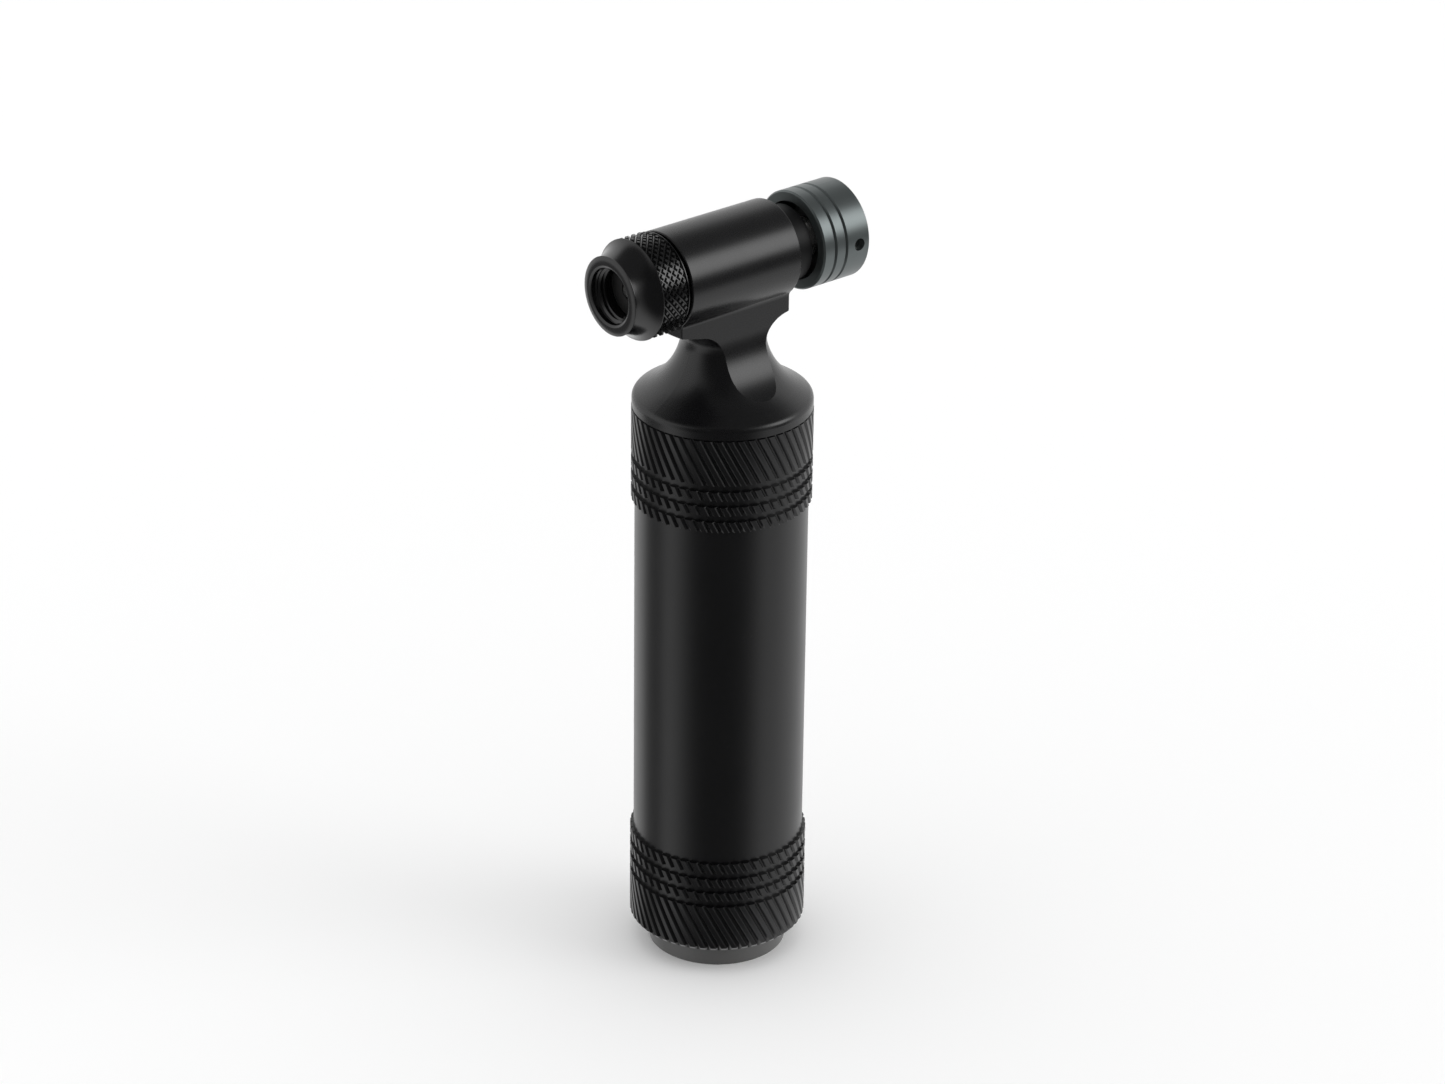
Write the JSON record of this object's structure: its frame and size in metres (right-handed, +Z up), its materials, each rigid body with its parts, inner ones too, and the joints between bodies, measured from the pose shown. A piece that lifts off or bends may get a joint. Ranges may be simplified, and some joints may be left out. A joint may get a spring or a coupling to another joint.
{
  "type": "tire inflator",
  "caption": "Pocket CO2 inflator with a knurled canister sleeve, T-shaped head, screw-on valve chuck and rotary control knob.",
  "frame": {"origin": "centre of the foot's flat bottom face, on the sleeve's axis", "axes": "+Z up the sleeve towards the head, +X along the barrel towards the valve chuck, +Y towards the knob's set screw"},
  "size_m": [0.0446, 0.028, 0.1248],
  "materials": {
    "black_anodised": "satin black anodised",
    "grey_anodised": "satin gunmetal grey anodised",
    "foot_plastic": "matte moulded nylon",
    "seal_rubber": "moulded nitrile",
    "bright_steel": "turned stainless steel",
    "cartridge_steel": "zinc-plated drawn steel",
    "brass": "turned brass",
    "filter_bronze": "sintered bronze"
  },
  "bodies": {
    "sleeve": {"sleeve": "black_anodised", "base_foot": "foot_plastic", "cushion_pad": "seal_rubber"},
    "sleeve_seal": {"sleeve_oring": "seal_rubber"},
    "head": {"head_body": "black_anodised", "lance_gasket": "seal_rubber", "lance": "bright_steel", "lance_filter": "filter_bronze", "valve_seat": "brass", "valve_bonnet": "black_anodised", "bonnet_oring": "seal_rubber", "spindle_oring": "seal_rubber"},
    "cartridge_tip": {"cartridge_seal_cap": "bright_steel"},
    "cartridge": {"cartridge": "cartridge_steel"},
    "plunger": {"plunger_seal": "seal_rubber", "valve_plunger": "brass"},
    "knob": {"spindle": "bright_steel", "spindle_clip": "bright_steel", "control_knob": "grey_anodised", "knob_set_screw": "bright_steel"},
    "chuck_seal": {"chuck_oring": "seal_rubber"},
    "chuck": {"chuck_body": "black_anodised", "chuck_gasket": "seal_rubber", "depressor_guide": "bright_steel", "depressor_spring": "bright_steel"},
    "depressor": {"valve_depressor": "bright_steel"}
  },
  "joints": [
    {"name": "head_lift", "type": "slide", "parent": "sleeve", "child": "sleeve_seal", "axis": [0, 0, 1], "range_m": [0, 0.006]},
    {"name": "head_turn", "type": "hinge", "parent": "sleeve_seal", "child": "head", "pos_m": [0, 0, 0.0934], "axis": [0, 0, 1], "range_deg": [0, 2160]},
    {"name": "cartridge_out", "type": "slide", "parent": "head", "child": "cartridge_tip", "axis": [0, 0, -1], "range_m": [0, 0.0102]},
    {"name": "cartridge_turn", "type": "hinge", "parent": "cartridge_tip", "child": "cartridge", "pos_m": [0, 0, 0.09], "axis": [0, 0, -1], "range_deg": [0, 3470]},
    {"name": "valve_open", "type": "slide", "parent": "head", "child": "plunger", "axis": [-1, 0, 0], "range_m": [0, 0.0015]},
    {"name": "knob_turn", "type": "hinge", "parent": "plunger", "child": "knob", "pos_m": [-0.018, 0, 0.117], "axis": [-1, 0, 0], "range_deg": [0, 540]},
    {"name": "chuck_advance", "type": "slide", "parent": "head", "child": "chuck_seal", "axis": [1, 0, 0], "range_m": [0, 0.0045]},
    {"name": "chuck_turn", "type": "hinge", "parent": "chuck_seal", "child": "chuck", "pos_m": [0.015, 0, 0.117], "axis": [1, 0, 0], "range_deg": [0, 1620]},
    {"name": "depressor_press", "type": "slide", "parent": "chuck", "child": "depressor", "axis": [-1, 0, 0], "range_m": [0, 0.0016], "stiffness_N_per_m": 300, "springref_m": -0.001, "deforming": ["depressor_spring"]}
  ],
  "couplings": [
    {"joint": "head_turn", "follows": "head_lift", "rad_per_m": 6283.2},
    {"joint": "cartridge_turn", "follows": "cartridge_out", "rad_per_m": 5937.1},
    {"joint": "knob_turn", "follows": "valve_open", "rad_per_m": 6283.2},
    {"joint": "chuck_turn", "follows": "chuck_advance", "rad_per_m": 6283.2}
  ]
}
